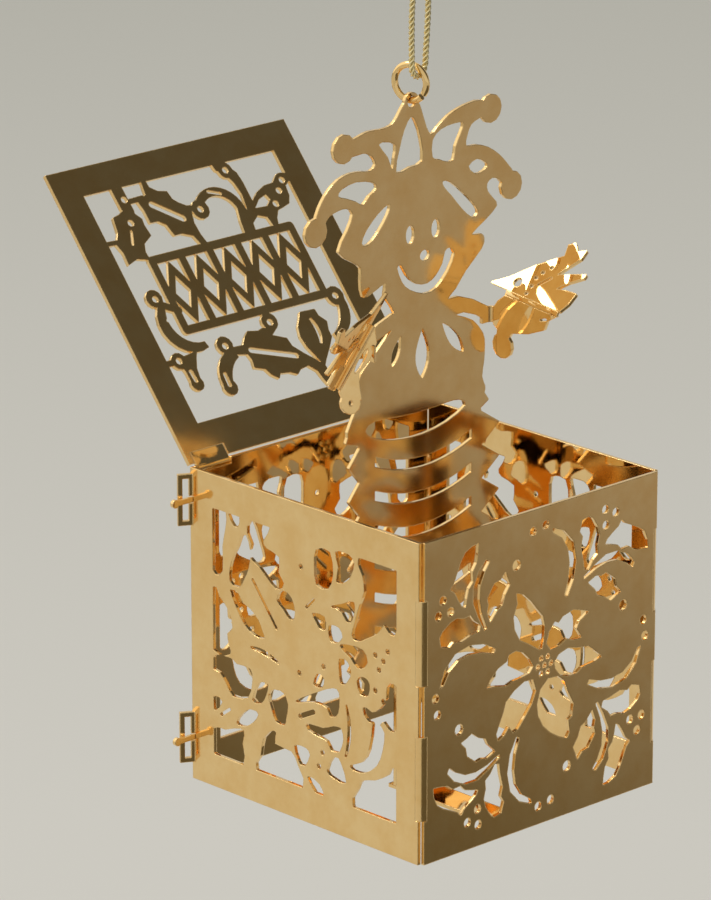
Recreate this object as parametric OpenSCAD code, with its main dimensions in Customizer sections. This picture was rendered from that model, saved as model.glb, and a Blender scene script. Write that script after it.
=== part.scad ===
// Hanging jack-in-the-box ornament: an open box of pierced and folded sheet metal, its lid bent back,
// a flat jester on a drawn spring, and a thread loop through a jump ring at the tip of the jester's cap.
// Box frame: X across the front, Y towards the back, Z up from the underside of the box.
// The finished part has its origin at the top of the thread's knot, by which it hangs.

/* [Box] */
// Outside width and depth of the box
box_w = 38; // [34:0.5:42]
// Height of the four walls
box_h = 38; // [34:0.5:42]
// Thickness of the metal sheet
sheet = 0.45; // [0.35:0.05:0.55]
// Plain border round the openwork of a wall
border = 4; // [3:0.25:5]
// Gap between two neighbouring sheets where they meet without a fold
seam = 0.05; // [0.02:0.01:0.1]

/* [Folds] */
// How far a fold reaches along each face from its corner
fold_reach = 0.95; // [0.8:0.05:1.2]
// Thickness of the thinned metal in a fold
fold_t = 0.3; // [0.2:0.05:0.35]
// Length of the fold straps on an upright corner
corner_fold_len = 10; // [6:0.5:11]
// Height of the lower strap's foot on an upright corner
corner_fold_z = 5.2; // [4:0.2:7]
// Clear length between the two straps of an upright corner
corner_fold_gap = 6; // [4:0.5:8]

/* [Lid] */
// Angle by which the open lid leans back past upright
lid_lean = 40; // [20:1:60]
// Height of the lid from its fold to its free edge
lid_h = 38.3; // [34:0.1:42]
// Radius inside the bend that carries the lid
lid_bend_r = 0.8; // [0.6:0.1:1.2]
// Length of the two fold straps of the lid
lid_fold_len = 5; // [3:0.5:7]
// Distance of the lid's straps from its side edges
lid_fold_inset = 1; // [0.5:0.25:3]
// Width of the rails and bars in the middle of the lid
rail_w = 1.1; // [0.8:0.1:1.4]

/* [Clasps] */
// Height of a clasp lug
lug_h = 6.2; // [5:0.2:7]
// Width of a clasp loop, outwards from the corner
lug_w = 1.9; // [1.8:0.1:2.4]
// Angle between a lug and the back wall's plane
lug_angle = 29; // [20:1:35]
// Height of the lower lug's middle
lug_low_z = 5.2; // [4.5:0.1:7]
// Distance of the upper lug's middle below the top of the walls
lug_drop = 3.8; // [3.8:0.1:7]
// Width of the slot in a loop
lug_slot_w = 0.75; // [0.7:0.05:0.9]
// Reach of a clasp hook beyond the left wall, to the middle of its head
hook_reach = 2.6; // [2.4:0.1:3.2]
// Height of a clasp hook's tongue
hook_h = 0.6; // [0.5:0.05:0.8]
// Radius of a clasp hook's round head
hook_head_r = 0.5; // [0.45:0.05:0.6]
// Clearance above and below a tongue where it crosses its loop
hook_gap = 0.15; // [0.1:0.05:0.25]

/* [Jester] */
// Height of the jester from the box floor to the tip of the cap
jester_h = 82; // [76:1:90]
// Depth of the figure's sheet from the middle of the box, towards the back
jester_y = 0; // [-2:0.5:2]
// Height of the spring's lowest edge above the underside of the box
spring_z = 15.2; // [13:0.2:18]
// Coils drawn on the flat spring
coils = 7; // [5:1:8]
// Width of the post below the spring and of the strap under it
post_w = 4; // [3:0.5:5]
// Width of the tab that holds the post in its strap
tab_w = 2.6; // [2:0.2:2.8]
// Clearance round a tab in its slot
tab_gap = 0.05; // [0.03:0.01:0.1]
// Outward slope of the right hand's leaf above level
hand_slope = 45; // [30:5:60]

/* [Hanging] */
// Radius of the jump ring's wire
wire_r = 0.4; // [0.3:0.05:0.45]
// Radius of the jump ring, to the middle of its wire
ring_r = 2.05; // [1.8:0.05:2.4]
// Turn of the jump ring away from square to the figure
ring_turn = 15; // [5:1:20]
// Opening angle of the gap between the ring's ends
ring_gap = 12; // [8:1:16]
// Clearance round the wire in the hole of the cap
hole_gap = 0.25; // [0.2:0.05:0.35]
// Diameter of the thread
thread_d = 0.75; // [0.6:0.05:0.9]
// Height of the thread's knot
knot_h = 3.2; // [2.5:0.1:4]

/* [Hidden] */
$fn = 32;

pale = [0.86, 0.72, 0.44];
gold = [0.80, 0.63, 0.33];
deep = [0.62, 0.47, 0.24];
amber = [0.85, 0.55, 0.18];

half = box_w / 2;
wall_end = half - sheet - seam;      // where a wall stops short of its neighbour
corner_fold_levels = [corner_fold_z, corner_fold_z + corner_fold_len + corner_fold_gap];
art = 38;                            // side of the square on which the openwork is drawn
cutter = 3;                          // overlap of a cutting tool past the metal
notch_gap = 0;                       // a fold meets the edge of its notch face to face

// ---- Outlines ------------------------------------------------------------------------------------

// Point on a closed curve through p, a share t of the way from point i to the next one
function on_curve(p, i, t) =
    let (n = len(p), a = p[(i + n - 1) % n], b = p[i], c = p[(i + 1) % n], d = p[(i + 2) % n])
    0.5 * (2 * b + (c - a) * t + (2 * a - 5 * b + 4 * c - d) * t * t + (3 * b - 3 * c + d - a) * t * t * t);

// Closed smooth curve through p, with steps points to each stretch
function smooth(p, steps = 3) =
    [for (i = [0:len(p) - 1], k = [0:steps - 1]) on_curve(p, i, k / steps)];

// Points of an arc of radius r about c
function arc(c, r, from, to, steps = 10) =
    [for (i = [0:steps]) let (a = from + (to - from) * i / steps) c + r * [cos(a), sin(a)]];

// Rounds every corner of a cut-out or a blank, as etching does
module etched(r = 0.12) {
    offset(r = r, $fn = 12) offset(delta = -2 * r) offset(r = r, $fn = 12) children();
}

// Leaf with a straight root and pointed tip, widest before the middle
module petal(l, w) {
    side = [for (t = [0:0.1:1]) [l * t, w / 2 * sin(180 * pow(t, 0.85))]];
    polygon(concat(side, [for (i = [9:-1:1]) [side[i][0], -side[i][1]]]));
}

// Holly leaf along +X from its stem, with three spines on each side
module holly(l, w) {
    side = [[0, 0.04], [0.1, 0.24], [0.2, 0.5], [0.34, 0.28], [0.5, 0.5], [0.64, 0.26], [0.76, 0.42],
            [0.88, 0.14]];
    n = len(side);
    polygon(concat([for (p = side) [p[0] * l, p[1] * w]], [[l, 0]],
                   [for (i = [n - 1:-1:0]) [side[i][0] * l, -side[i][1] * w]]));
}

// Band of even width along an arc, with round ends
module band(c, r, from, to, w) {
    polygon(concat(arc(c, r + w / 2, from, to, 12), arc(c, r - w / 2, to, from, 12)));
    for (a = [from, to]) translate(c + r * [cos(a), sin(a)]) circle(r = w / 2, $fn = 12);
}

// Crescent along an arc, widest in its middle and w_end wide at its tips
module crescent(c, r, from, to, w, w_end = 0.3) {
    function half_w(t) = w_end / 2 + (w - w_end) / 2 * sin(180 * t);
    steps = 10;
    polygon(concat(
        [for (i = [0:steps]) let (t = i / steps, a = from + (to - from) * t)
            c + (r + half_w(t)) * [cos(a), sin(a)]],
        [for (i = [steps:-1:0]) let (t = i / steps, a = from + (to - from) * t)
            c + (r - half_w(t)) * [cos(a), sin(a)]]));
}

// Straight slit from p to q, with round ends
module slit(p, q, w) {
    d = q - p;
    translate(p) rotate(atan2(d[1], d[0])) {
        translate([0, -w / 2]) square([norm(d), w]);
        for (x = [0, norm(d)]) translate([x, 0]) circle(r = w / 2, $fn = 12);
    }
}

module dot(p, r) {
    translate(p) circle(r = r, $fn = 12);
}

// ---- Openwork ------------------------------------------------------------------------------------

// Six petals and stamens of a poinsettia
module poinsettia_holes() {
    petals = [
        [[-0.5, 2.2], [-2, 3.2], [-3.6, 4.1], [-4.4, 5.5], [-4.6, 7], [-4, 8.5], [-4.2, 9.8], [-3, 9.3],
         [-1.8, 8.2], [-0.8, 7], [0.1, 6], [0.4, 4.8], [0.3, 3.3], [0, 2.1]],
        [[0.7, 2.6], [1.1, 3.9], [2, 4.9], [2.6, 4.6], [3.3, 5.2], [5, 5.6], [7.6, 4.8], [6, 4], [5.5, 3.2],
         [6.4, 1.9], [4.9, 2], [4, 2.4], [2.7, 1.8], [1.4, 1.7]],
        [[2, 0], [2.7, 0.8], [4.2, 1.2], [6, 0.8], [7.5, 0.6], [9.8, -1.2], [8.6, -1.5], [6.5, -1.7],
         [5.6, -2.2], [4.5, -2.2], [3, -1.8], [2.2, -0.8]],
        [[1, -1.7], [2.6, -1.8], [3.6, -2.6], [4.3, -4.2], [5.2, -5.8], [5, -7.2], [4.4, -7.5], [4.6, -9],
         [4.2, -9.7], [3, -9.2], [1.5, -8.3], [0.3, -7.2], [-0.5, -5.8], [-0.7, -4.4], [-0.2, -2.7]],
        [[-1.4, -1.2], [-2.8, -1.1], [-4.4, -1.8], [-5.7, -2.8], [-6.1, -4], [-6.6, -5], [-7.2, -6.3],
         [-6.9, -7.2], [-6, -6.8], [-5.2, -5.9], [-4.5, -6.8], [-3.8, -6.6], [-2.6, -5.3], [-1.5, -4],
         [-0.9, -2.6]],
        [[-1.4, 0.4], [-2, 1.4], [-3, 2.4], [-4.2, 2.9], [-5.3, 2.7], [-5.6, 2], [-7, 1.5], [-8.2, 0.5],
         [-8.8, -0.4], [-7.4, -0.5], [-5.6, -0.9], [-4.6, -0.6], [-3.2, -0.5], [-2, -0.3]]];
    for (p = petals) polygon(p);
    for (a = [0:60:300]) dot([0.4, 0.1] + 1.05 * [cos(a), sin(a)], 0.36);
    dot([0.4, 0.1], 0.36);
}

// Holly, slots and berries of one corner, drawn for the lower left quarter
module corner_holes() {
    outlines = [
        [[-12.8, -5.9], [-12, -6.7], [-11.8, -7.7], [-10.3, -8.8], [-9.5, -8.6], [-8.6, -8.8], [-7.3, -8.3],
         [-8.5, -7.2], [-8.9, -6.4], [-10, -6], [-11.1, -5.2], [-11.9, -5.6]],
        [[-17.1, -10.2], [-17, -11.2], [-16.5, -12.3], [-15.5, -13], [-14.4, -13.5], [-13.3, -14],
         [-12.7, -14.6], [-12.2, -13.9], [-11.3, -13.4], [-10.4, -12.8], [-10, -12.2], [-11, -12],
         [-12.1, -11.7], [-12.8, -11], [-14, -11.1], [-14.9, -10.5], [-16, -10.3]],
        [[-7.4, -9.8], [-6.7, -10], [-6.5, -11.3], [-6.1, -12.8], [-6.4, -14], [-5.9, -14.7], [-6.3, -16],
         [-7.4, -16.2], [-8, -15.8], [-8.8, -14.6], [-9.1, -13.6], [-8.8, -12.4], [-8.9, -11.4],
         [-8.1, -10.8]],
        [[-14.6, -8.4], [-13.6, -9.2], [-12.1, -9.9], [-10.4, -10], [-8.6, -9.6], [-6.7, -8.8],
         [-6.6, -9.2], [-8.4, -10.2], [-10.2, -11], [-12, -11], [-13.8, -10.2], [-14.9, -9]],
        [[-4, -7.4], [-5, -9.3], [-5.4, -11.5], [-4.9, -13.8], [-3.4, -15.4], [-1.4, -16.2], [-1.6, -15.6],
         [-3, -14.7], [-4, -13.2], [-4.3, -11.4], [-4.1, -9.5], [-3.5, -7.7]]];
    for (p = outlines) polygon(p);
    for (p = [[-13.1, -4.2, 0.65], [-10.1, -14.5, 0.55], [-11.7, -15.7, 0.55], [-10, -16.4, 0.55],
              [-0.4, -16.8, 0.55], [1.6, -16.5, 0.55]]) dot([p[0], p[1]], p[2]);
}

// Everything pierced through a plate whose middle is the origin
module plate_holes() {
    poinsettia_holes();
    for (a = [0:90:270]) rotate(a) corner_holes();
}

// Openings between the leaves of a bordered wall, drawn in a square 30 wide and 30 high about its middle
module leaf_wall_holes() {
    outlines = [
        [[-15, 15], [-13, 15], [-13.1, 13], [-13.6, 10.8], [-13.6, 7.8], [-15, 7.6]],
        [[-12.2, 15], [-10.7, 15], [-11.1, 13.6]],
        [[-9.7, 13.2], [-8.9, 11.2], [-9.2, 9.2], [-9.8, 8], [-10.8, 6.5], [-12, 6.9], [-11.9, 8.6],
         [-11.3, 10.2], [-10.6, 11.4]],
        [[-8.5, 15], [-5.6, 15], [-6.7, 13.2], [-6.2, 12.4], [-4.1, 11.8], [-4.2, 10], [-3.3, 8.9],
         [-4.2, 7.9], [-5.8, 8.9], [-7, 9.8], [-8.7, 10.7], [-8.3, 12.2], [-9, 13.4]],
        [[-3.3, 8], [-2, 7.4], [-1.5, 6], [-1.9, 4.8], [-3, 5.7], [-4.1, 6.6]],
        [[-12, 5.9], [-10.9, 5.7], [-10.2, 4.8], [-9, 4.4], [-7.6, 3.4], [-6.9, 2.2], [-6.6, 1.4],
         [-7.9, 1.4], [-9.5, 2.2], [-10.9, 3.9]],
        [[-15, 5.5], [-14.2, 4.6], [-12.6, 3.2], [-12, 1.3], [-12.9, 0.4], [-12.6, -1], [-12.4, -2],
         [-15, -2.1]],
        [[-15, -3.3], [-14.4, -2.7], [-13.4, -2.5], [-12, -2.5], [-11.3, -2.9], [-9, -2.9], [-8.7, -4.4],
         [-9.4, -6.5], [-11.6, -7], [-12.7, -5.8], [-13.8, -4.7], [-15, -4.5]],
        [[-8.3, -6.6], [-7.3, -4.3], [-6, -4], [-6.4, -5.5], [-7.2, -6.6]],
        [[-5.6, -5.2], [-4.6, -4.3], [-3.4, -4.4], [-2.7, -5.6], [-3, -7.2], [-3.3, -8.2], [-4.4, -8.1],
         [-5, -7]],
        [[-11, -10.1], [-10.2, -8.9], [-8.7, -7.8], [-7.7, -8.1], [-8.6, -9.3], [-10, -10.2]],
        [[-15, -7.8], [-13.8, -8.2], [-15, -9.6]],
        [[-15, -11.8], [-13, -11.5], [-10.2, -10.6], [-10.4, -12.4], [-10.3, -15], [-15, -15]],
        [[-6.9, -13], [-6.4, -10.7], [-4.7, -9.3], [-4.9, -10.9], [-2.2, -11.1], [-1.1, -12.5], [-0.3, -15],
         [-7.6, -15]],
        [[8.4, -15], [9.2, -12.6], [10, -11.3], [12.1, -10.7], [14, -9.6], [15, -8.4], [15, -15]],
        [[15, 1.4], [13.9, 0.9], [13.8, -0.5], [12.7, -2], [11.3, -2.8], [10.1, -2.4], [10.2, -3.4],
         [11, -4], [11.6, -4.2], [11, -7.4], [9.8, -9.2], [8, -10], [8.4, -10.5], [10, -10.3],
         [11.9, -8.9], [12.8, -6.9], [13.1, -4.7], [12.4, -3.9], [13.2, -3.3], [14, -3.9], [15, -3.8]],
        [[-1.3, -4.9], [0.8, -3.6], [3, -2.5], [5.3, -1.5], [5.8, -2.6], [5.6, -4.3], [4.7, -5.1],
         [4.1, -4.2], [2.4, -4], [0.7, -4.3]],
        [[0.9, -6.9], [3.4, -6.8], [5.2, -6.1], [6.1, -6.1], [6.4, -7.4], [5.8, -8.9], [4.8, -9.1],
         [4.1, -8.2], [2.7, -8], [1, -7.7]],
        [[4.1, -11.8], [5.2, -9.8], [6, -10.2], [6.9, -12.4], [5.4, -12.4]],
        [[-1.3, -10.2], [0.2, -10], [0.9, -10.7], [0.1, -12.2], [-0.6, -11.9]],
        [[0.8, -13.3], [2.5, -13.8], [3.2, -15], [2.2, -15]],
        [[2.4, 14.3], [4.3, 14.5], [4.8, 12], [4, 10.1], [2.4, 10.1], [2.1, 12.2]],
        [[5.5, 14.8], [7.2, 15], [8.2, 14.2], [7.7, 12.6], [6.9, 11.7], [5.7, 11.2], [6, 13]],
        [[9.3, 15], [15, 15], [15, 8], [14.2, 7.4], [13.2, 8.3], [12.9, 8], [11.9, 6.8], [10.2, 5.8],
         [8.9, 5.1], [8.2, 5.6], [8.8, 7.5], [9.5, 9.6], [10.2, 11.2], [9.9, 13]],
        [[4.3, 8], [6.6, 8.9], [8.2, 9.6], [8.2, 8.2], [7.5, 6.9], [6.6, 7.8], [5.5, 8.1]],
        [[1.7, 6.6], [3.4, 6.6], [3.6, 5.2], [3, 5], [2.4, 5.6]],
        [[4.5, 5.8], [5.7, 5.9], [6.3, 4.9], [5.2, 3.9], [4.5, 4.4]],
        [[6.2, 3.9], [7.4, 4.3], [9.6, 4.3], [10.4, 3], [9.2, 1.9], [8, 2.8], [7, 3.3]],
        [[6.2, 2.3], [7.1, 2.2], [7.7, 1.1], [7.2, 0], [6.4, -0.7], [6.1, 1]],
        [[9, 0.3], [9.8, 1.1], [10.7, 0.5], [10.5, -0.9], [9.6, -1.1]],
        [[1.9, -1.9], [2.6, -0.4], [3.3, -1], [2.9, -2]]];
    intersection() {
        translate([-15.3, -15]) square([30.3, 30]);
        for (p = outlines, more = [0:0.22:0.44]) translate([-more, -0.1 * more]) polygon(smooth(p, 2));
    }
    slit([-0.7, -6.4], [1.5, -5.3], 0.6);
    slit([-8.5, 8], [-4.6, 3.2], 0.45);
    crescent([-8, -9.6], 9.4, 96, 66, 0.6);
    crescent([-1.5, -6], 8.9, 20, -22, 0.6);
    slit([-14, -9.8], [-12.6, -8.8], 0.4);
    slit([0.4, 7], [1.6, 8.2], 0.4);
    for (p = [[-0.5, 11.6], [11.6, 4.2], [12.9, 3.8], [13.6, 5.1], [12.2, 2.6], [3.2, 0.6], [-0.8, -1.2],
              [3, -9.8], [2.4, -11.6], [12.9, -1], [11.6, 0]]) dot(p, 0.35);
}

// Leaves, stems and berries left standing in the window of the lid, from its fold upwards
module lid_sprays() {
    leaves = [
        [[-15.5, 28.9], [-13.5, 28.8], [-12.9, 29.6], [-12.5, 31.6], [-11.5, 31.8], [-10.6, 32.2], [-9.6, 32],
         [-8.5, 30.6], [-8.6, 29.8], [-8.4, 28.3], [-9.9, 27.5], [-10.3, 26.5], [-10.2, 25.4], [-12, 25.9],
         [-13.6, 25.4], [-13.5, 27], [-13.9, 28.2], [-15.5, 28.3]],
        [[-8, 32.8], [-6.4, 33.4], [-6.1, 35.5], [-5.4, 35.5], [-5.3, 34.2], [-4.4, 33.5], [-3.1, 33.2],
         [-2.9, 32.1], [-2.3, 31.5], [-1.4, 30.9], [-0.6, 30.8], [-1.2, 29.6], [-1.5, 28.5], [-1.4, 27],
         [-1, 25.4], [-2, 25.4], [-2.6, 27], [-4, 27.6], [-5.2, 27.6], [-5.6, 29.1], [-6.5, 29.8],
         [-7.7, 29.8], [-7.7, 31.5]],
        [[4.9, 35.5], [5.2, 34.2], [6.2, 33.6], [6.9, 32.2], [7.2, 30.6], [6.9, 28.8], [5.8, 26.6],
         [5.6, 25.4], [6.6, 25.4], [6.8, 26.7], [8, 27.5], [9.2, 27], [9.5, 25.4], [10.2, 25.4], [10.6, 26.6],
         [11.3, 27.5], [12.2, 27.7], [13.4, 28], [14, 29], [14.2, 30.4], [15.5, 31], [15.5, 31.8],
         [14.2, 32.1], [13.3, 31.8], [12.5, 31.1], [11, 31], [9.5, 30.4], [8.3, 29.5], [8.3, 32], [8.1, 33.4],
         [7.4, 34.3], [7.1, 35.5]],
        [[-3.4, 12.5], [-2.6, 13.4], [-1.8, 14], [-0.3, 13.7], [0.5, 13.9], [2.6, 13.4], [1.5, 12.7],
         [3.3, 11.9], [3.5, 10.8], [4.6, 9.6], [5.9, 8.4], [6.8, 7.4], [7.2, 4.4], [6, 4.4], [5.5, 5.8],
         [5.2, 7], [4.3, 7.9], [3, 7.7], [2.3, 7.2], [1.3, 7.7], [-0.1, 7.9], [-0.6, 7.3], [-1.5, 8],
         [-2, 8.9], [-3.4, 9.4], [-3.2, 10.4], [-3.4, 11.2], [-6.6, 11.9], [-6, 12.6]],
        [[6.9, 14.6], [9.3, 14.5], [9.4, 13.6], [10.2, 12.6], [9.8, 11.5], [9.8, 10.6], [8.6, 9.3],
         [7.4, 8.1], [6.6, 7.2], [6, 8.8], [5.4, 10.2], [5.2, 11.6], [5.6, 12.9], [6.5, 14]]];
    for (p = leaves) polygon(p);
    slit([-10, 35.5], [-9.9, 31.8], 1.7);
    slit([-10, 33], [-7, 33.1], 0.7);
    band([3, 28.6], 3.2, 150, 5, 1.2);
    polygon([[5.6, 29.2], [6.8, 28.6], [5.9, 26.4], [5.8, 25.4], [4.8, 25.4], [5.1, 27.4]]);
    slit([-15.5, 12.6], [-12.6, 12.6], 0.8);
    polygon([[-13.4, 12.2], [-12.8, 13], [-11, 13.2], [-10, 13.4], [-10.6, 12.5], [-11.3, 11.2],
             [-11.6, 9.4], [-13.1, 9.4], [-13.1, 11]]);
    crescent([-9.2, 17.2], 3.6, 130, 285, 1.7, 0.9);
    slit([-11.6, 19.6], [-9.8, 18.6], 1);
    crescent([-4.2, 8], 3.9, 100, 190, 1.9, 1.4);
    crescent([9.6, 14.6], 4.1, 25, -80, 1.5, 0.8);
    for (p = [[-12.4, 20.7, 1.2], [-5.9, 13, 1.2], [-12.3, 9.4, 0.95], [-8, 7.9, 1.05], [0.3, 30, 1.3],
              [6.6, 34, 1.1], [2, 14.4, 1.2], [13.2, 15.4, 1.3], [-13.3, 12.6, 1.1], [14, 31.2, 0.9]])
        dot([p[0], p[1]], p[2]);
}

// Small holes in the leaves and berries of the lid
module lid_eyes() {
    slit([-6.2, 32], [-2.8, 29.4], 0.8);
    slit([-2.6, 11.6], [3.3, 9.5], 0.7);
    crescent([4.3, 12], 3.9, 22, -28, 0.6);
    slit([-11.6, 27.8], [-10.9, 29.4], 0.3);
    polygon([[8.2, 28.5], [9.3, 29.4], [10.6, 29.8], [10.9, 29.1], [10, 28.4]]);
    slit([-12, 17.7], [-11.3, 18.5], 0.4);
    for (p = [[-10.4, 30.4], [-9.7, 33.4], [0.3, 30], [6.6, 34], [14, 31.1], [12.8, 29.9], [11.4, 28.4],
              [-12.3, 20.6], [-13.3, 12.6], [-5.9, 12.9], [2, 14.3], [13.2, 15.4]]) dot(p, 0.42);
    slit([-12.4, 11], [-12.3, 9.8], 0.5);
    slit([-7.9, 9.6], [-8, 8.2], 0.5);
    slit([2.6, 31.9], [4.2, 31.3], 0.4);
}

// Two rails with upright bars and a row of lozenges between them
module lid_fret(low, high, reach) {
    cells = 5;
    pitch = 2 * reach / cells;
    for (z = [low, high]) slit([-reach, z], [reach, z], rail_w);
    for (i = [0:cells]) slit([-reach + i * pitch, low], [-reach + i * pitch, high], rail_w);
    for (i = [0:cells - 1]) translate([-reach + (i + 0.5) * pitch, (low + high) / 2])
        difference() {
            polygon([[-pitch / 2, 0], [0, 4.2], [pitch / 2, 0], [0, -4.2]]);
            polygon([[-pitch / 4, 0], [0, 2.1], [pitch / 4, 0], [0, -2.1]]);
        }
}

// ---- Walls ---------------------------------------------------------------------------------------

// Blank of a wall with a notch for each fold: folds are [side, start, length], more is added at the left
module wall_blank(folds, more = 0) {
    difference() {
        translate([-wall_end - more, 0]) square([2 * wall_end + more, box_h]);
        for (f = folds) translate([f[0] * half - fold_reach - notch_gap, f[1]])
            square([2 * fold_reach + 2 * notch_gap, f[2]]);
    }
}

function side_folds(side) = [for (z = corner_fold_levels) [side, z, corner_fold_len]];

module plate_pattern() {
    scale([box_w / art, box_h / art]) translate([0, art / 2]) etched(0.1) plate_holes();
}

module leaf_pattern(flip) {
    window = [box_w - 2 * border, box_h - 2 * border];
    translate([0, box_h / 2]) scale([window[0] / 30, window[1] / 30]) mirror([flip, 0, 0])
        etched() leaf_wall_holes();
}

// Stands a drawing up as a sheet whose outer face is the plane of a wall: turn is the wall's direction
module wall(turn) {
    rotate([0, 0, turn]) translate([0, -half + sheet, 0]) rotate([90, 0, 0])
        linear_extrude(sheet) children();
}

module front_panel() {
    color(deep) wall(0) difference() {
        offset(delta = 0) difference() {
            wall_blank(concat(side_folds(-1), side_folds(1)));
            plate_pattern();
        }
    }
}

module left_panel() {
    color(gold) wall(-90) offset(delta = 0) difference() {
        wall_blank(side_folds(1), half - wall_end);
        for (z = lug_levels) translate([-half - cutter, z - lug_h / 2])
            square([cutter + half - wall_end, lug_h]);
        leaf_pattern(0);
    }
}

module right_panel() {
    color(gold) wall(90) offset(delta = 0) difference() {
        wall_blank(concat(side_folds(-1), side_folds(1)));
        leaf_pattern(1);
    }
}

// Notches at the top of the back wall for the lid's straps: left edge of each strap
function lid_fold_starts() = [-half + lid_fold_inset, half - lid_fold_inset - lid_fold_len];
// Height of the centre of the lid's bend, from which the lid's inner face meets the wall's top corner
lid_bend_z = box_h + (cos(lid_lean) * lid_bend_r - lid_bend_r - fold_t) / sin(lid_lean);

module back_panel() {
    color(deep) wall(180) offset(delta = 0) difference() {
        wall_blank(side_folds(-1));
        leaf_pattern(0);
        for (x = lid_fold_starts()) translate([x, lid_bend_z]) square([lid_fold_len, cutter]);
    }
}

// Strap on the inside of the front wall's foot, which carries the jester's post
module base_strap() {
    color(gold) linear_extrude(sheet) offset(delta = 0) difference() {
        translate([post_x - post_w / 2, -half + sheet])
            square([post_w, half - sheet + jester_y + sheet + strap_past]);
        translate([post_x - tab_w / 2 - tab_gap, jester_y - tab_gap])
            square([tab_w + 2 * tab_gap, sheet + 2 * tab_gap]);
    }
}

// Cross-section of a quarter bend whose outer faces are the lines x = 0 and y = 0, in the first quadrant
module quarter_bend() {
    c = [fold_reach, fold_reach];
    polygon(concat(arc(c, fold_reach, 180, 270, 6), arc(c, fold_reach - fold_t, 270, 180, 6)));
}

module corner_folds() {
    color(gold) for (turn = [0, 90, 180]) rotate([0, 0, turn]) for (z = corner_fold_levels)
        translate([-half, -half, z]) linear_extrude(corner_fold_len) quarter_bend();
}

// ---- Clasps --------------------------------------------------------------------------------------

lug_levels = [lug_low_z, box_h - lug_drop];

// Slotted loop on the left wall's back edge with a way through for its hook: foot, bend and the loop itself
module clasp_lugs() {
    bend = [-half + sheet / 2, wall_end + sheet / 2];
    rim = (lug_w - lug_slot_w) / 2;
    pass = hook_h + 2 * hook_gap;
    color(pale) for (z = lug_levels) difference() {
        translate([0, 0, z - lug_h / 2]) linear_extrude(lug_h) {
            translate([-half, wall_end]) square([sheet, sheet / 2]);
            translate(bend) circle(r = sheet / 2, $fn = 16);
            translate(bend) rotate(180 - lug_angle) translate([0, -sheet / 2]) square([lug_w, sheet]);
        }
        translate([-half - cutter, wall_end - cutter / 2, z - pass / 2])
            cube([cutter + sheet + seam, cutter / 2 + sheet + seam, pass]);
        translate([bend[0], bend[1], z]) rotate([0, 0, 180 - lug_angle]) {
            translate([rim, -sheet, rim - lug_h / 2]) cube([lug_slot_w, 2 * sheet, lug_h - 2 * rim]);
            translate([-sheet, -sheet, -pass / 2]) cube([sheet + rim + lug_slot_w / 2, 2 * sheet, pass]);
        }
    }
}

// Tongue of the back wall that reaches through each loop, with a round head
module clasp_hooks() {
    color(pale) for (z = lug_levels) translate([0, half, z]) rotate([90, 0, 0])
        linear_extrude(sheet) {
            translate([-half - hook_reach, -hook_h / 2]) square([hook_reach + half - wall_end, hook_h]);
            translate([-half - hook_reach, 0]) circle(r = hook_head_r, $fn = 16);
        }
}

// ---- Lid -----------------------------------------------------------------------------------------

// Places a drawing in the plane spanned by u and v at o; the sheet's seen face lies in that plane
module on_plane(o, u, v) {
    n = cross(u, v);
    multmatrix([[u[0], v[0], n[0], o[0]], [u[1], v[1], n[1], o[1]], [u[2], v[2], n[2], o[2]],
                [0, 0, 0, 1]]) children();
}

lid_dir = [0, sin(lid_lean), cos(lid_lean)];
lid_low = 0.3;                        // gap between the wall's top and the lid
lid_strap = 1.7;                      // how far a strap runs up the lid

module lid() {
    top = lid_low + lid_h;
    drawn = 38.6;                     // height of the lid for which its sprays are drawn
    foot = lid_low + border + 0.5;
    window = [box_w - 2 * border, lid_h - 2 * border - 0.1];
    color(deep) on_plane([0, half, box_h], [1, 0, 0], lid_dir) translate([0, 0, -sheet])
        linear_extrude(sheet) offset(delta = 0) difference() {
            union() {
                difference() {
                    translate([-half + 0.1, lid_low]) square([box_w - 0.3, lid_h]);
                    translate([-window[0] / 2, foot]) square(window);
                }
                etched() {
                    scale([box_w / art, top / drawn]) {
                        lid_sprays();
                        translate([0.9, 0]) lid_fret(16, 25.3, 11);
                    }
                    difference() {
                        translate([-window[0] / 2 - 1, foot - 1])
                            square([window[0] + 2, window[1] + 2]);
                        translate([-window[0] / 2, foot]) square(window);
                    }
                }
            }
            scale([box_w / art, top / drawn]) lid_eyes();
            for (x = lid_fold_starts()) translate([x - 0.1, lid_low - cutter])
                square([lid_fold_len + 0.2, lid_strap - lid_low + cutter]);
        }
}

module lid_folds() {
    c = [half + lid_bend_r, lid_bend_z];
    outer = lid_bend_r + fold_t;
    dir = [sin(lid_lean), cos(lid_lean)];
    last = c + outer * [-cos(lid_lean), sin(lid_lean)];
    run = lid_strap - (last - [half, box_h]) * dir;
    color(deep) for (x = lid_fold_starts()) translate([x, 0, 0])
        on_plane([0, 0, 0], [0, 1, 0], [0, 0, 1]) linear_extrude(lid_fold_len) polygon(concat(
            arc(c, outer, 180, 180 - lid_lean, 5),
            [last + run * dir, c + lid_bend_r * [-cos(lid_lean), sin(lid_lean)] + run * dir],
            arc(c, lid_bend_r, 180 - lid_lean, 180, 5)));
}

// ---- Jester --------------------------------------------------------------------------------------

lift = jester_h - 82;
hem_z = 43.6 + lift;
pitch = (hem_z - spring_z) / coils;
post_x = -2.5;                        // middle of the post below the spring
strap_past = 0.8;                     // how far the strap under the post runs past it
arm_z = [53.4, 55.3];                 // height of the straps that carry the arms
arm_x = 10.4;                         // distance of the sleeves from the middle
arm_r = 0.35;                         // radius inside the bend of an arm's strap
cap_hole = [-2.3, 81.6];

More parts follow.
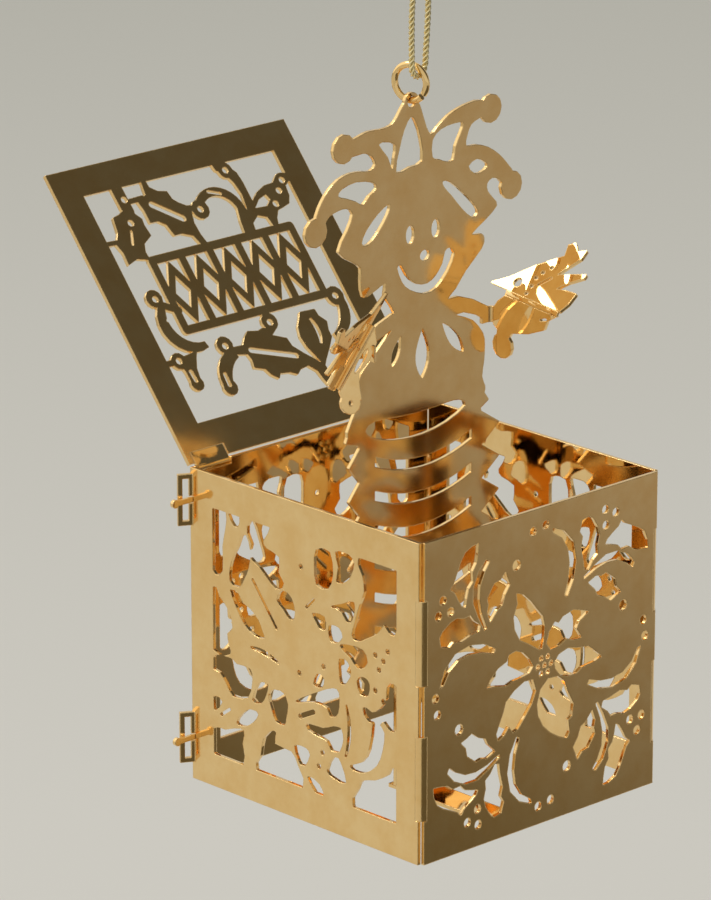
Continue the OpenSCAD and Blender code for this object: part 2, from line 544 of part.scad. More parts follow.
// Body, head and cap, upwards on the right and down on the left
jester_side = [
    [8.6, 43.2], [9.5, 45.1], [9.6, 45.9], [9.1, 47.1], [9.4, 49], [9.5, 50.8], [9.2, 52.3], [7.5, 54.2],
    [5.2, 55.2], [3.6, 56.2], [3.5, 57.5], [4.8, 58.5], [6.4, 60.3], [8.9, 62.4], [9.3, 63.5], [8.8, 64.2],
    [7.3, 64.4], [9.3, 65.6], [11.3, 67], [10.7, 68], [9.8, 69], [9.7, 69.9], [10.5, 70.4], [11.6, 70],
    [12.6, 69], [13.9, 69], [14, 70.3], [12.9, 71.7], [11.6, 73], [9.8, 74.2], [8, 74.8], [6.3, 75],
    [6.5, 76.2], [7.1, 77.3], [8.4, 77.8], [10, 78.1], [10.2, 79], [8.6, 79.9], [7, 79.9], [5.2, 79.6],
    [3.4, 79], [1.8, 78], [0.6, 77.3], [-0.4, 79.4], [-1, 81], [-1.8, 81.9], [-3, 81.9], [-3.9, 81.1],
    [-4.5, 80.3], [-5.4, 79.5], [-6.8, 79.3], [-8.9, 79.4], [-10.4, 79.1], [-12.4, 78.5], [-12.6, 77.5],
    [-11.4, 76.9], [-9.8, 77], [-8.6, 76.5], [-7.9, 75.4], [-8.7, 74.8], [-10, 75], [-11.8, 75.1],
    [-13.6, 74.7], [-15, 73.8], [-16.1, 72.6], [-16.9, 71.2], [-17.4, 69.3], [-16.7, 68.9], [-15.7, 69.9],
    [-15, 70.7], [-13.6, 71.1], [-12.3, 71.1], [-11.4, 70.3], [-12.2, 68.6], [-13.6, 66.3], [-11.4, 64.7],
    [-10.2, 63.8], [-10.2, 62.4], [-9.8, 60.3], [-8, 60.7], [-6.3, 61.3], [-6.5, 59.9], [-5.5, 58.5],
    [-4.9, 57.4], [-4.6, 56.3], [-5.7, 55.3], [-8, 53.3], [-10.1, 51.4], [-10.4, 50.3], [-10.2, 48.8],
    [-11, 47.2], [-11.9, 45.6], [-12.2, 44.4], [-10.4, 43]];

// Strip from a shoulder to the fold of an arm, s is the side
module shoulder(s) {
    end = arm_x - arm_r;
    mirror([s < 0 ? 1 : 0, 0]) polygon([[2.5, 57.5], [5.2, 57.5], [7.5, 56.7], [end, arm_z[1]],
                                        [end, arm_z[0]], [8, 54.7], [6, 55.4], [2.5, 55.2]]);
}

// Openings of the cap, hair, face and dress
module jester_holes() {
    cap = [
        [[-2.4, 79.9], [-1.6, 79], [-0.9, 77.1], [-0.6, 74.5], [-2.5, 74.1], [-4.7, 73.9], [-4.1, 76.7],
         [-3.4, 78.6]],
        [[1, 76.6], [2.3, 77.6], [4.3, 77.9], [5.8, 77.7], [5.4, 76.6], [4.6, 75.2], [4.3, 73.7], [3.2, 73.7],
         [2, 74.2], [1, 74.6]],
        [[-7.4, 77.6], [-6, 77.6], [-4.8, 77], [-5, 75.6], [-5.3, 74.3], [-6, 75.9]],
        [[-13.6, 72.8], [-13, 73.5], [-10.9, 73.9], [-8.4, 73.4], [-7.7, 72.6], [-8.9, 71.9], [-9.8, 71.1],
         [-10.9, 71.7], [-12.3, 72.3]],
        [[6.7, 72.5], [8, 73.1], [9.3, 72.5], [9.7, 71.9], [8.6, 71.4], [7.5, 71.6]],
        [[-10, 66.7], [-9.3, 68], [-7.5, 69.6], [-5.9, 70.4], [-5.7, 69.8], [-6.6, 68.4], [-8.3, 66.7],
         [-9.4, 66.3]],
        [[2.6, 71.5], [3.9, 71.1], [6.1, 69.3], [7.8, 67.6], [8.2, 66.7], [7.3, 66.4], [5.6, 67.8],
         [4.1, 69.5], [2.9, 70.7]],
        [[-4.5, 62.7], [-3.7, 60.9], [-2.5, 59.8], [-0.2, 58.9], [1.7, 59.2], [3.5, 60.8], [4.5, 62.7],
         [3.7, 63.5], [3, 63.2], [2.6, 61.9], [1.6, 60.7], [0.2, 60], [-1.6, 60.3], [-3, 61.5],
         [-3.9, 62.9]]];
    for (p = cap) polygon(smooth(p, 2));
    for (x = [-2.5, 1.5]) translate([x, 66.2]) scale([0.6, 1]) circle(r = 1.1, $fn = 20);
    translate([-0.2, 63.4]) scale([1, 0.85]) circle(r = 0.75, $fn = 16);
    translate([-0.5, 48.9]) rotate(90) petal(6, 2.2);
    translate([-5.3, 51.2]) rotate(68) petal(3.8, 1.2);
    translate([6.1, 50.7]) rotate(130) petal(5.5, 1.5);
}

// Slot between two coils of the drawn spring, hanging lowest in its middle
module coil_slot(z) {
    n = 10;
    reach = 7.7;
    sag = 1.6;
    w = 1.2;
    translate([-0.25, z]) polygon(concat(
        [for (i = [0:n]) let (t = 2 * i / n - 1) [reach * t, -sag * (1 - t * t) - w / 2]],
        [for (i = [n:-1:0]) let (t = 2 * i / n - 1) [reach * t, -sag * (1 - t * t) + w / 2]]));
}

// Wider slot between the dress and the first coil
module hem_slot() {
    translate([0, hem_z]) polygon(smooth([[-9.4, 1.1], [-8.4, 0], [-6, -0.8], [-3.5, -1.2], [-0.2, -1.3],
        [3.4, -0.7], [6.4, 0.6], [5.4, 1.5], [3.4, 1.6], [0, 1.4], [-4, 1.5], [-8, 1.8]], 2));
}

// The spring's outline, stepped on the left and the right by the turn from coil to coil
module spring_blank() {
    left = [for (k = [0:coils - 1], s = [0, 1]) [-12 + 1.7 * s, hem_z + 1.1 - 2 * s - k * pitch]];
    right = [for (k = [coils - 2:-1:0], s = [1, 0]) [12 - 2.9 * s, hem_z - 2.5 - 2.2 * s - k * pitch]];
    polygon(concat(left, [[-12, spring_z + 1.1], [-11, spring_z], [11, spring_z], [12, spring_z + 1.5]],
                   right, [[9, hem_z - 0.6], [8.6, hem_z + 1]]));
}

module jester() {
    color(gold) translate([0, jester_y + sheet, 0]) rotate([90, 0, 0]) difference() {
        linear_extrude(sheet) offset(delta = 0) difference() {
            union() {
                translate([post_x - post_w / 2, sheet]) square([post_w, spring_z]);
                translate([post_x - tab_w / 2, 0]) square([tab_w, sheet + 0.1]);
                etched(0.15) {
                    spring_blank();
                    translate([0, lift]) {
                        polygon(smooth(jester_side, 2));
                        for (s = [-1, 1]) shoulder(s);
                        for (p = [[10.2, 78.6], [-12.7, 78], [13.6, 69], [-17, 69.2]]) dot(p, 1.7);
                        translate(cap_hole) circle(r = 1.1, $fn = 24);
                    }
                }
                translate([0, lift]) for (s = [-1, 1])
                    translate([s * (arm_x - arm_r) - (s + 1) / 2, arm_z[0]]) square([1, arm_z[1] - arm_z[0]]);
            }
            etched(0.1) {
                hem_slot();
                for (k = [0:coils - 2]) coil_slot(hem_z - 3 - k * pitch);
                translate([0, lift]) jester_holes();
            }
        }
        translate([cap_hole[0], cap_hole[1] + lift, -cutter]) cylinder(r = wire_r + hole_gap, h = 3 * cutter);
    }
}

// ---- Arms ----------------------------------------------------------------------------------------

function unit(v) = v / norm(v);
function across(v, u) = unit(v - (v * u) * u);

// Directions of an arm: along its crease, up the sleeve to the crease, out over the hand, and its start
right_o = [arm_x, jester_y, 57.65 + lift];
right_along = [0, -cos(6), -sin(6)];
right_up = across([0, 0, 1], right_along);
right_out = cos(hand_slope) * [1, 0, 0] + sin(hand_slope) * right_up;

left_o = [-8.6, jester_y - 1.5, 58.9 + lift];
left_along = unit([-0.68, -0.04, -0.73]);
left_out = across([-0.63, -0.47, 0.61], left_along);
left_up = across(cos(hand_slope) * left_out + sin(hand_slope) * cross(left_along, left_out), left_along);

crease_r = 0.9;                       // outside radius of the crease between sleeve and hand
crease_reach = crease_r * tan(22.5);

// Bend between the sleeve and the hand, turning by the angle between them
module crease(o, along, up, out, from, to) {
    away = -across(out, up);
    turn = acos(out * up);
    reach = crease_r * tan(turn / 2);
    c = [-crease_r, -reach];
    n = cross(away, up);
    s = n * along > 0 ? 1 : -1;
    on_plane(o + (s > 0 ? from : to) * along, away, up) linear_extrude(to - from)
        polygon(concat(arc(c, crease_r, 0, turn, 4), arc(c, crease_r - fold_t, turn, 0, 4)));
}

// Leaf of a hand: spike, cuff and three fingers; x runs along the crease and y out over the hand
module hand_shape(spike, low) {
    difference() {
        etched(0.12) polygon([[spike, low], [1.4, 1.9], [3.9, 4.6], [6.5, 6.8], [6, 8.2], [6.8, 8.8],
            [7.8, 7.9], [8.9, 8.5], [8.9, 7.2], [8, 5.7], [7.3, 4.4], [9, 5.1], [10.9, 5.8], [10.9, 5.2],
            [9.4, 4], [8.4, 2.8], [9.8, 3.1], [11.3, 3.2], [11.2, 1.6], [10.7, low], [2, low]]);
        dot([3, 1.7], 0.6);
        for (p = [[5.05, 0.9], [5.05, 1.95], [4.9, 3.05], [5.3, 3.95], [6, 4.9]]) dot(p, 0.25);
        slit([5.8, 2.4], [6.8, 3.7], 0.3);
    }
}

module sleeve_sheet(o, along, up) {
    on_plane(o, along, up) translate([0, 0, -sheet]) linear_extrude(sheet) offset(delta = 0) children();
}

module right_sleeve() {
    low = crease_r * tan((90 - hand_slope) / 2);
    color(amber) sleeve_sheet(right_o, right_along, right_up) difference() {
        union() {
            polygon([[2.3, -low], [1.2, -1.4], [0.6, -2.4], [0.81, -4.4], [1.5, -4.8], [1.5, -6], [3, -6],
                     [3.85, -4.6], [6.5, -3.8], [8.8, -2.6], [9.2, -1.4], [10.6, -low]]);
            dot([2.5, -6.5], 1.55);
        }
        slit([8.2, -1.5], [9, -1.2], 0.3);
    }
}

module right_crease() {
    color(pale) crease(right_o, right_along, right_up, right_out, 2.3, 10.6);
}

module right_hand() {
    low = crease_r * tan((90 - hand_slope) / 2);
    color(pale) on_plane(right_o, right_along, right_out) translate([0, 0, -sheet])
        linear_extrude(sheet) offset(delta = 0) hand_shape(-0.6, low);
}

// Quarter bend that carries an arm: outer edge towards the back, s is the side
module arm_fold(s) {
    c = [arm_x - arm_r, jester_y - arm_r];
    color(gold) mirror([s < 0 ? 1 : 0, 0, 0]) translate([0, 0, arm_z[0] + lift])
        linear_extrude(arm_z[1] - arm_z[0])
        polygon(concat(arc(c, arm_r + fold_t, 0, 90, 5), arc(c, arm_r, 90, 0, 5)));
}

module right_arm_fold() { arm_fold(1); }
module left_arm_fold() { arm_fold(-1); }

module left_sleeve() {
    n = cross(left_along, left_up);
    color(amber) {
        on_plane(left_o, left_along, left_up) linear_extrude(sheet) offset(delta = 0) difference() {
            union() {
                polygon([[2, -0.5], [3.2, -1.6], [5.6, -1.9], [7.3, -1.5], [8.2, -2.1], [9.6, -3.4],
                         [11.6, -2.4], [10.4, -0.5]]);
                dot([10.7, -2.4], 1.3);
            }
            translate([6, -1]) scale([1.6, 0.35]) circle(r = 1, $fn = 16);
            dot([10.7, -2.4], 0.3);
        }
        translate([-arm_x, jester_y - 2.4, arm_z[0] + lift])
            cube([fold_t, 2.4 - arm_r, arm_z[1] - arm_z[0]]);
    }
}

module left_crease() {
    color(pale) crease(left_o, left_along, left_up, left_out, 2, 10.4);
}

module left_hand() {
    color(pale) on_plane(left_o, left_along, left_out) linear_extrude(sheet) offset(delta = 0)
        hand_shape(-2.6, crease_reach);
}

// ---- Ring and thread -----------------------------------------------------------------------------

ring_c = [cap_hole[0], jester_y + sheet / 2, cap_hole[1] + lift + 0.15 + ring_r];
ring_axis = [cos(ring_turn), sin(ring_turn), 0];
ring_back = [-sin(ring_turn), cos(ring_turn), 0];
thread_on = 30;                       // how far in front of its top the thread lies on the ring
thread_r = thread_d / 2;
bend_r = 1.5;                         // radius of the thread's bend under the ring
thread_low = (wire_r + thread_r + 0.05) / cos(thread_on);
bend_z = ring_c[2] + ring_r * cos(thread_on) - thread_low + bend_r;
bend_c = ring_c - ring_r * sin(thread_on) * ring_back;
knot_low = 99.5 + lift;                 // underside of the knot
knot_r = 1.3;
lean = [0.25, -0.2];                  // sideways drift of the thread from its bend to the knot
hang = [bend_c[0] + lean[0], bend_c[1] + lean[1], knot_low + knot_h];

module jump_ring() {
    color(pale) translate(ring_c) rotate([0, 0, ring_turn]) rotate([0, 90, 0])
        rotate([0, 0, -50 + ring_gap / 2]) rotate_extrude(angle = 360 - ring_gap) translate([ring_r, 0])
        circle(r = wire_r, $fn = 16);
}

// Middle line of the thread: sideways distance from its middle and height, from the knot round the ring
strand = [[0.42, knot_low + 0.22], [0.42, knot_low - 0.2], [0.62, knot_low - 1.2], [1.2, knot_low - 3.4],
          [1.6, knot_low - 5.4], [1.75, knot_low - 7.4], [1.7, knot_low - 9.4], [1.6, bend_z + 2],
          [1.53, bend_z + 1]];
rounds = 8;
half_line = [for (p = strand) p];
line2 = concat([for (p = half_line) [-p[0], p[1]]],
               [for (i = [0:rounds]) let (a = 180 + 180 * i / rounds) [bend_r * cos(a), bend_z + bend_r * sin(a)]],
               [for (i = [len(half_line) - 1:-1:0]) half_line[i]]);

function drift(z) = let (t = (z - bend_z) / (knot_low - bend_z)) max(0, min(1, t)) * [lean[0], lean[1], 0];
function line3(p) = [bend_c[0], bend_c[1], 0] + p[0] * ring_axis + [0, 0, p[1]] + drift(p[1]);
route = [for (p = line2) line3(p)];

function tangent(r, i) = unit(r[min(i + 1, len(r) - 1)] - r[max(i - 1, 0)]);

// Tube of radius tr round a line r that stays near one upright plane with normal side
module tube(r, tr, side) {
    k = 8;
    n = len(r);
    ring = [for (i = [0:n - 1]) let (t = tangent(r, i), u = unit(side - (side * t) * t), v = cross(t, u))
            for (j = [0:k - 1]) r[i] + tr * (cos(360 * j / k) * u + sin(360 * j / k) * v)];
    polyhedron(points = ring, convexity = 6, faces = concat(
        [[for (j = [0:k - 1]) j]],
        [for (i = [0:n - 2], j = [0:k - 1]) let (a = i * k + j, b = i * k + (j + 1) % k) [a, a + k, b]],
        [for (i = [0:n - 2], j = [0:k - 1]) let (a = i * k + j, b = i * k + (j + 1) % k) [b, a + k, b + k]],
        [[for (j = [k - 1:-1:0]) (n - 1) * k + j]]));
}

module thread() {
    color(gold) tube(route, thread_r, [-sin(ring_turn), cos(ring_turn), 0]);
}

module knot() {
    color(gold) translate([hang[0], hang[1], knot_low + 0.25]) rotate_extrude() polygon(concat(
        [[0, 0]], [[0.95, 0]], [for (i = [1:7]) let (a = -60 + 150 * i / 7)
            [knot_r * cos(a) , (knot_h - 0.25) / 2 * (1 + sin(a))]], [[0, knot_h - 0.25]]));
}

// ---- Assembly ------------------------------------------------------------------------------------

translate(-hang) {
    front_panel();
    left_panel();
    right_panel();
    back_panel();
    base_strap();
    corner_folds();
    clasp_lugs();
    clasp_hooks();
    lid();
    lid_folds();
    jester();
    right_arm_fold();
    right_sleeve();
    right_crease();
    right_hand();
    left_arm_fold();
    left_sleeve();
    left_crease();
    left_hand();
    jump_ring();
    thread();
    knot();
}
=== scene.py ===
import math

import bpy
from mathutils import Matrix, Vector


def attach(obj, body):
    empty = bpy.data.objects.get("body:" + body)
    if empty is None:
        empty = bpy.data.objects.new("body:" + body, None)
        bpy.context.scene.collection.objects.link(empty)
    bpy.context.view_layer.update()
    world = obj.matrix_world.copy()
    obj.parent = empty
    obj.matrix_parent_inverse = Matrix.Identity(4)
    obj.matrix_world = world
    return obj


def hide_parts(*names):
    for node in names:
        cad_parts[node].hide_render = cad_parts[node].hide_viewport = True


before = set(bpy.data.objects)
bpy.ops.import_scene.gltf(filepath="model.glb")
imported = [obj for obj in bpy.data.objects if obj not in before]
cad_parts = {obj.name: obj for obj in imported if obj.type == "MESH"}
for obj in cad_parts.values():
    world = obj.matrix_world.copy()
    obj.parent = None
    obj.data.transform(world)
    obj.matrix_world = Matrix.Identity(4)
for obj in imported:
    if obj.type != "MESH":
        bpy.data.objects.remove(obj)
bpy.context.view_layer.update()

scene = bpy.context.scene
scene.view_settings.view_transform = "Standard"

MM = 0.001
# places in mm are from the middle of the box's underside: X right, Y back, Z up
BOX_MIDDLE = (0, 0, 19)
HANG = Vector((-1.7847, -0.965, 102.7))     # the part's origin, on top of the thread's knot


def at(x, y, z):
    """That place in the row frame, in metres."""
    return (Vector((x, y, z)) - HANG) * MM


def add_object(name, data):
    obj = bpy.data.objects.new(name, data)
    scene.collection.objects.link(obj)
    return obj


def add_mesh(name, verts, faces):
    mesh = bpy.data.meshes.new(name)
    mesh.from_pydata(verts, [], faces)
    return add_object(name, mesh)


# ---- Camera --------------------------------------------------------------------------------------

AZIMUTH, ELEVATION = math.radians(-43.59), math.radians(17.916)     # where it looks from
DISTANCE = 662.84                       # mm from the middle of the box
BOX_ACROSS, BOX_UP = 7.958, -20.229     # mm from the middle of the view to the middle of the box
FOCAL_PX, HEIGHT_PX = 5754.86, 900      # focal length and height of the picture, in pixels
SENSOR = 36                             # mm


def add_camera():
    """Camera that looks at the front left corner of the box from a little above."""
    back = Vector((math.sin(AZIMUTH) * math.cos(ELEVATION),
                   -math.cos(AZIMUTH) * math.cos(ELEVATION), math.sin(ELEVATION)))
    right = (-back).cross(Vector((0, 0, 1))).normalized()
    up = right.cross(-back)
    place = at(*BOX_MIDDLE) + (back * DISTANCE - right * BOX_ACROSS - up * BOX_UP) * MM
    data = bpy.data.cameras.new("camera")
    data.sensor_width = SENSOR
    data.lens = FOCAL_PX * SENSOR / HEIGHT_PX
    data.clip_start, data.clip_end = 0.01, 50
    cam = add_object("camera", data)
    cam.matrix_world = Matrix((
        (right.x, up.x, back.x, place.x), (right.y, up.y, back.y, place.y),
        (right.z, up.z, back.z, place.z), (0, 0, 0, 1)))
    scene.camera = cam


add_camera()


# ---- Material helpers ----------------------------------------------------------------------------

def feed(tree, socket, value):
    """Links value into the socket where it is an output, and sets it otherwise."""
    if isinstance(value, bpy.types.NodeSocket):
        tree.links.new(value, socket)
    else:
        socket.default_value = value


def node(tree, kind, **sockets):
    """New node with its inputs fed by name, with _ for each space."""
    n = tree.nodes.new(kind)
    for name, value in sockets.items():
        feed(tree, n.inputs[name.replace("_", " ")], value)
    return n


def combine(tree, kind, operation, a, b):
    """New math node of that kind."""
    n = tree.nodes.new(kind)
    n.operation = operation
    feed(tree, n.inputs[0], a)
    feed(tree, n.inputs[1], b)
    return n


def dot(tree, a, b):
    return combine(tree, "ShaderNodeVectorMath", "DOT_PRODUCT", a, b).outputs["Value"]


def noise(tree, **sockets):
    return node(tree, "ShaderNodeTexNoise", **sockets).outputs["Fac"]


def map_range(tree, **sockets):
    return node(tree, "ShaderNodeMapRange", **sockets).outputs["Result"]


def mix_color(tree, factor, a, b):
    """Colour from a to b as factor runs from 0 to 1."""
    n = tree.nodes.new("ShaderNodeMix")
    n.data_type = "RGBA"
    feed(tree, n.inputs[0], factor)
    for socket, color in ((n.inputs[6], a), (n.inputs[7], b)):
        feed(tree, socket, (*color, 1) if isinstance(color, tuple) else color)
    return n.outputs[2]


def new_material(name):
    mat = bpy.data.materials.new(name)
    mat.use_nodes = True
    return mat, mat.node_tree, mat.node_tree.nodes["Principled BSDF"]


def set_material(obj, mat):
    if not obj.material_slots:
        obj.data.materials.append(mat)
    for s in obj.material_slots:
        s.material = mat


# ---- Gold plate ----------------------------------------------------------------------------------

CLOUDS = 260.0                  # cells a metre, of the mottling and the worn spots
STREAKS = (900, 900, 160)       # the same, of the brushed scratches, which run upright
GLOSS = (0.015, 0.045)          # least and most roughness of the plating
SCRATCH_DEPTH = 0.00002         # metres
OUTSIDE = 0.002                 # metres: how far past the middle a face looks before it is outside
LIGHT, DARK = (0.96, 0.69, 0.33), (0.90, 0.60, 0.25)
WIRE_LIGHT, WIRE_DARK = (0.98, 0.70, 0.32), (0.90, 0.60, 0.24)


def gold(name, light, dark, satin=None, outward=None, scratch=0.06, edge=0.18):
    """Gold plate: mottled colour, fine brushed scratches, worn gloss, and edges softened by etching.

    scratch is the strength of the scratches, and edge the radius of the edges in mm. With satin
    given, faces are that much rougher: all of them, or those that face away from outward."""
    mat, tree, bsdf = new_material(name)
    coord = tree.nodes.new("ShaderNodeTexCoord")
    place = coord.outputs["Object"]
    cloud = noise(tree, Vector=place, Scale=CLOUDS, Detail=5.0, Roughness=0.65)
    mottle = map_range(tree, Value=cloud, From_Min=0.35, From_Max=0.65)
    bsdf.inputs["Metallic"].default_value = 1.0
    feed(tree, bsdf.inputs["Base Color"], mix_color(tree, mottle, light, dark))

    stretched = node(tree, "ShaderNodeMapping", Vector=place, Scale=STREAKS).outputs["Vector"]
    streak = noise(tree, Vector=stretched, Scale=1.0, Detail=3.0, Roughness=0.6)
    wear = combine(tree, "ShaderNodeMath", "MULTIPLY", cloud, streak).outputs[0]
    rough = map_range(tree, Value=wear, From_Min=0.1, From_Max=0.4, To_Min=GLOSS[0], To_Max=GLOSS[1])
    if satin is not None:
        more = satin
        if outward is not None:
            away = combine(tree, "ShaderNodeVectorMath", "SUBTRACT", place, outward)
            side = dot(tree, away.outputs["Vector"], coord.outputs["Normal"])
            more = map_range(tree, Value=side, From_Min=0.0, From_Max=OUTSIDE, To_Max=satin)
        rough = combine(tree, "ShaderNodeMath", "ADD", rough, more).outputs[0]
    feed(tree, bsdf.inputs["Roughness"], rough)

    soft = node(tree, "ShaderNodeBevel", Radius=edge * MM)
    soft.samples = 4
    bump = node(tree, "ShaderNodeBump", Strength=scratch, Distance=SCRATCH_DEPTH, Height=streak,
                Normal=soft.outputs["Normal"])
    feed(tree, bsdf.inputs["Normal"], bump.outputs["Normal"])
    return mat


bright = gold("gold_bright", LIGHT, DARK)
satin_out = gold("gold_satin_outside", LIGHT, DARK, satin=0.06, outward=at(*BOX_MIDDLE))
satin_all = gold("gold_satin", LIGHT, DARK, satin=0.08)
wire = gold("gold_wire", WIRE_LIGHT, WIRE_DARK, scratch=0.05, edge=0.05)
FINISH = {"jump_ring": wire, "lid": satin_all, "jester": satin_all, "front_panel": satin_out,
          "left_panel": satin_out, "right_panel": satin_out, "back_panel": satin_out,
          "corner_folds": satin_out}

for name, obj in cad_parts.items():
    set_material(obj, FINISH.get(name, bright))


# ---- Thread --------------------------------------------------------------------------------------

RING_R, WIRE_R = 2.05, 0.4              # mm, like all sizes here
CAP_HOLE_Z = 81.6                       # middle of the hole in the cap's tip
RING_C = Vector((-2.3, 0.225, CAP_HOLE_Z + 0.15 + RING_R))
RING_TURN = math.radians(15)            # of the ring about the upright
RING_AXIS = Vector((math.cos(RING_TURN), math.sin(RING_TURN), 0))
RING_BACK = Vector((-math.sin(RING_TURN), math.cos(RING_TURN), 0))
THREAD_R = 0.375
THREAD_ON = math.radians(30)            # how far in front of its top the thread lies on the ring
THREAD_LOW = (WIRE_R + THREAD_R + 0.05) / math.cos(THREAD_ON)
BEND_R = 1.5                            # radius of the thread's bend under the ring
BEND_Z = RING_C.z + RING_R * math.cos(THREAD_ON) + BEND_R - THREAD_LOW
BEND_C = RING_C - RING_R * math.sin(THREAD_ON) * RING_BACK
KNOT_LOW = 99.5                         # underside of the knot
LEAN = Vector((0.25, -0.2, 0))          # sideways drift of the thread from its bend to the knot
KNOT_C = BEND_C + LEAN
TREFOIL_R, TREFOIL_Z, TREFOIL_RISE = 0.25, 1.45, 0.75
TAIL_R = 0.36
TWIST = 1.9                             # length of one turn of the plies
PLIES, SIDES = 3, 8                     # plies in the thread, and flats round each
THREAD_DARK, THREAD_LIGHT = (0.80, 0.64, 0.28), (1.0, 0.90, 0.56)
FIBRES = 9000.0                         # cells a metre


def thread_route():
    """The thread's middle line from the knot, round the ring and back, as in the part's source."""
    side = [(0.42, KNOT_LOW + 0.22), (0.42, KNOT_LOW - 0.2), (0.62, KNOT_LOW - 1.2),
            (1.2, KNOT_LOW - 3.4), (1.6, KNOT_LOW - 5.4), (1.75, KNOT_LOW - 7.4),
            (1.7, KNOT_LOW - 9.4), (1.6, BEND_Z + 2), (1.53, BEND_Z + 1)]
    line = [(-x, z) for x, z in side]
    line += [(BEND_R * math.cos(math.radians(a)), BEND_Z + BEND_R * math.sin(math.radians(a)))
             for a in (180 + 22.5 * i for i in range(9))]
    line += side[::-1]
    out = []
    for x, z in line:
        t = max(0.0, min(1.0, (z - BEND_Z) / (KNOT_LOW - BEND_Z)))
        out.append(at(*(Vector((BEND_C.x, BEND_C.y, z)) + x * RING_AXIS + t * LEAN)))
    return out


def knot_lines():
    """Middle lines of the knot, a closed trefoil, and of the two tails that leave it."""
    trefoil = [at(KNOT_C.x + TREFOIL_R * (math.sin(t) + 2 * math.sin(2 * t)),
                  KNOT_C.y + TREFOIL_R * (math.cos(t) - 2 * math.cos(2 * t)),
                  KNOT_LOW + TREFOIL_Z - TREFOIL_RISE * math.sin(3 * t))
               for t in (2 * math.pi * i / 60 for i in range(60))]
    tails = [[at(KNOT_C.x + s * (0.3 - 0.25 * t), KNOT_C.y + s * 0.2 * t, KNOT_LOW + 1.6 + 1.5 * t)
              for t in (i / 12 for i in range(13))] for s in (-1, 1)]
    return trefoil, tails


def smooth_line(points, steps):
    """Smooth line through the points, with that many steps from each to the next."""
    row = [points[0], *points, points[-1]]
    out = []
    for a, b, c, d in zip(row, row[1:], row[2:], row[3:]):
        for k in range(steps):
            t = k / steps
            out.append(0.5 * (2 * b + (c - a) * t + (2 * a - 5 * b + 4 * c - d) * t * t
                              + (3 * b - 3 * c + d - a) * t ** 3))
    out.append(points[-1].copy())
    return out


def carry_frames(line, closed):
    """Two directions across the line at each point, carried without twist, and the way so far."""
    n = len(line)
    frames, way = [], 0.0
    for i, point in enumerate(line):
        ahead = line[(i + 1) % n] if closed else line[min(i + 1, n - 1)]
        behind = line[i - 1] if closed else line[max(i - 1, 0)]
        along = (ahead - behind).normalized()
        if i == 0:
            across = along.orthogonal().normalized()
        else:
            way += (point - line[i - 1]).length
            across = (across - along * across.dot(along)).normalized()
        frames.append((across, along.cross(across), way))
    return frames


def rope(name, lines, radius, closed=False):
    """Piece of rope round each line, which is in metres; radius is in mm."""
    verts, faces = [], []
    ply = radius * MM * 0.5             # each ply's radius, and its distance from the line
    for line in lines:
        frames = carry_frames(line, closed)
        n, length = len(line), frames[-1][2]
        turns = max(1, round(length / (TWIST * MM)))
        for k in range(PLIES):
            start = len(verts)
            for point, (u, v, way) in zip(line, frames):
                a = 2 * math.pi * (turns * way / length + k / PLIES)
                mid = point + ply * (math.cos(a) * u + math.sin(a) * v)
                for j in range(SIDES):
                    b = 2 * math.pi * j / SIDES + a
                    verts.append(mid + ply * (math.cos(b) * u + math.sin(b) * v))
            for i in range(n if closed else n - 1):
                p, q = start + i * SIDES, start + ((i + 1) % n) * SIDES
                for j in range(SIDES):
                    after = (j + 1) % SIDES
                    faces.append((p + j, p + after, q + after, q + j))
            if not closed:
                faces.append([start + j for j in range(SIDES)][::-1])
                faces.append([start + (n - 1) * SIDES + j for j in range(SIDES)])
    obj = add_mesh(name, verts, faces)
    obj.data.shade_smooth()
    return obj


def metal_thread():
    """Metallised yarn: a glossy thread with pale and dark fibres."""
    mat, tree, bsdf = new_material("metal_thread")
    place = tree.nodes.new("ShaderNodeTexCoord").outputs["Object"]
    fibre = noise(tree, Vector=place, Scale=FIBRES, Detail=3.0, Roughness=0.7)
    bump = node(tree, "ShaderNodeBump", Strength=0.5, Distance=0.00004, Height=fibre)
    bsdf.inputs["Metallic"].default_value = 0.85
    bsdf.inputs["Roughness"].default_value = 0.32
    feed(tree, bsdf.inputs["Base Color"], mix_color(tree, fibre, THREAD_DARK, THREAD_LIGHT))
    feed(tree, bsdf.inputs["Normal"], bump.outputs["Normal"])
    return mat


route = thread_route()
middle = smooth_line(route, 10)
trefoil, tails = knot_lines()
thread = rope("twisted_thread", [middle], THREAD_R)
knot = rope("thread_knot", [trefoil], THREAD_R, closed=True)
ends = rope("thread_tails", tails, TAIL_R)
thread_mat = metal_thread()
for o in (thread, knot, ends):
    set_material(o, thread_mat)
    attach(o, "hanger")
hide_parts("thread")
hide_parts("knot")


# ---- Studio --------------------------------------------------------------------------------------

FLOOR_Z = -0.42                         # metres, in the row frame, like all places here
MAT_Z = FLOOR_Z + 0.002
FLOOR_HALF = 8
MAT_X, MAT_Y = (-0.55, 1.5), (-1.5, -0.25)
# a paper's colour runs evenly from near to far between two places along a direction
# painted light: the floor paper is lighter near the camera and darker far off, as light falls off
FLOOR_PAPER = {"near": (0.75, 0.742, 0.708), "far": (0.598, 0.598, 0.556),
               "along": (0.656, 0.689, 0), "start": 0.75, "end": 1.75}
# painted shade: dark paper for the card that the box and figure reflect, lighter further along x
PAINTED_SHADE_PAPER = {"near": (0.152, 0.138, 0.104), "far": (0.51, 0.475, 0.45),
              "along": (1, 0, 0), "start": 0.53, "end": 0.82}
SKY = (0.64, 0.63, 0.60)
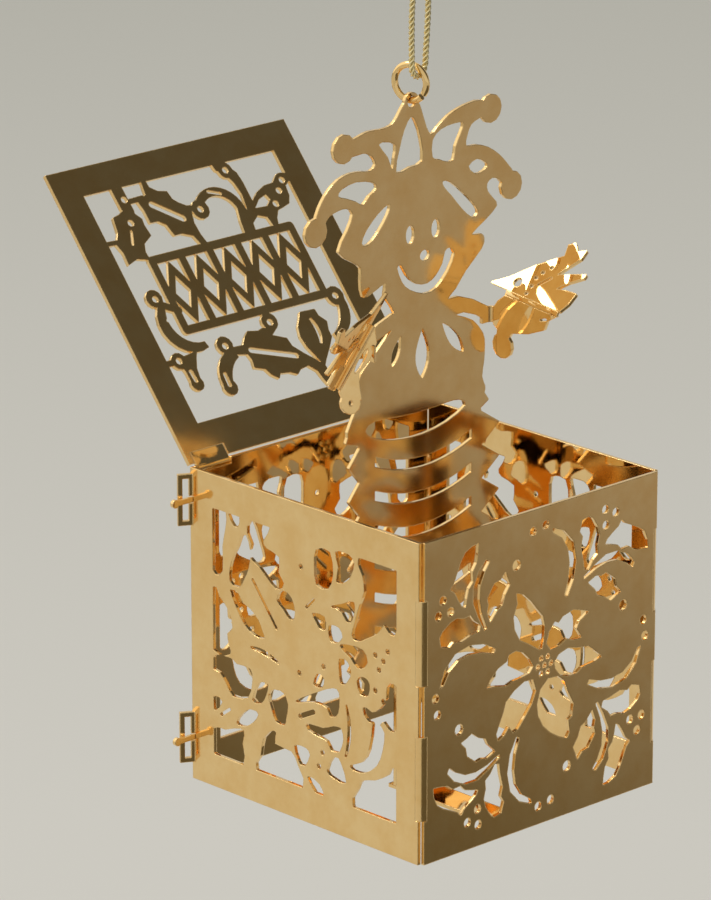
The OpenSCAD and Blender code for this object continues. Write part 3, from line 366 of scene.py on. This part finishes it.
# toward, angle round that where it is full and where it ends, colour
GLOW = ((-0.31, 0.69, 0.66), 22, 60, (1.14, 1.11, 1.04))
SHADE = ((0.66, -0.42, 0.63), 22, 50, (0.088, 0.084, 0.072))
KEY_PLACE, KEY_TARGET = Vector((-0.35, 0.9, 1.4)), Vector((0, 0, -0.07))
KEY_SIZE, KEY_POWER, KEY_COLOR = 0.7, 7.0, (1.0, 0.98, 0.94)


def paper_color(tree, near, far, along, start, end):
    place = tree.nodes.new("ShaderNodeTexCoord").outputs["Object"]
    run = map_range(tree, Value=dot(tree, place, along), From_Min=start, From_Max=end)
    return mix_color(tree, run, near, far)


def paper(name, color, seen=None):
    """Matt paper; seen is the colour that the camera gets where it sees the paper itself."""
    mat, tree, bsdf = new_material(name)
    bsdf.inputs["Roughness"].default_value = 0.9
    bsdf.inputs["Specular IOR Level"].default_value = 0.0
    out = paper_color(tree, **color)
    if seen:
        by_camera = tree.nodes.new("ShaderNodeLightPath").outputs["Is Camera Ray"]
        out = mix_color(tree, by_camera, out, paper_color(tree, **seen))
    feed(tree, bsdf.inputs["Base Color"], out)
    return mat


def card(name, x, y, z, mat):
    """Level sheet of the studio between two places in x and in y."""
    obj = add_mesh(name, [(x[0], y[0], z), (x[1], y[0], z), (x[1], y[1], z), (x[0], y[1], z)],
                   [(0, 1, 2, 3)])
    obj.data.materials.append(mat)


def lobe(tree, looking, below, toward, full, none, color):
    """Sky colour below, with another mixed in round a direction, between two angles in degrees."""
    facing = dot(tree, looking, Vector(toward).normalized())
    fade = map_range(tree, Value=facing, From_Min=math.cos(math.radians(none)),
                     From_Max=math.cos(math.radians(full)))
    fade.node.interpolation_type = "SMOOTHSTEP"
    return mix_color(tree, fade, below, color)


def add_world():
    """Even pale sky, with a bright glow behind the box and a dark side on its right."""
    world = bpy.data.worlds.new("studio")
    world.use_nodes = True
    scene.world = world
    tree = world.node_tree
    looking = tree.nodes.new("ShaderNodeTexCoord").outputs["Generated"]
    sky = lobe(tree, looking, SKY, *GLOW)
    sky = lobe(tree, looking, sky, *SHADE)
    feed(tree, tree.nodes["Background"].inputs["Color"], sky)


def add_key():
    """Soft lamp above the box and behind it."""
    data = bpy.data.lights.new("key", "AREA")
    data.shape = "DISK"
    data.size = KEY_SIZE
    data.energy = KEY_POWER
    data.color = KEY_COLOR
    obj = add_object("key", data)
    obj.location = KEY_PLACE
    obj.rotation_mode = "QUATERNION"
    obj.rotation_quaternion = (KEY_TARGET - KEY_PLACE).to_track_quat("-Z", "Y")


card("floor", (-FLOOR_HALF, FLOOR_HALF), (-FLOOR_HALF, FLOOR_HALF), FLOOR_Z,
     paper("floor_paper", FLOOR_PAPER))
# painted shade: the front wall, the clasps and the figure reflect this dark card as shaded floor; to
# the camera it looks like the floor
card("painted_shade_card", MAT_X, MAT_Y, MAT_Z, paper("painted_shade_card_paper", PAINTED_SHADE_PAPER, seen=FLOOR_PAPER))
add_world()
add_key()
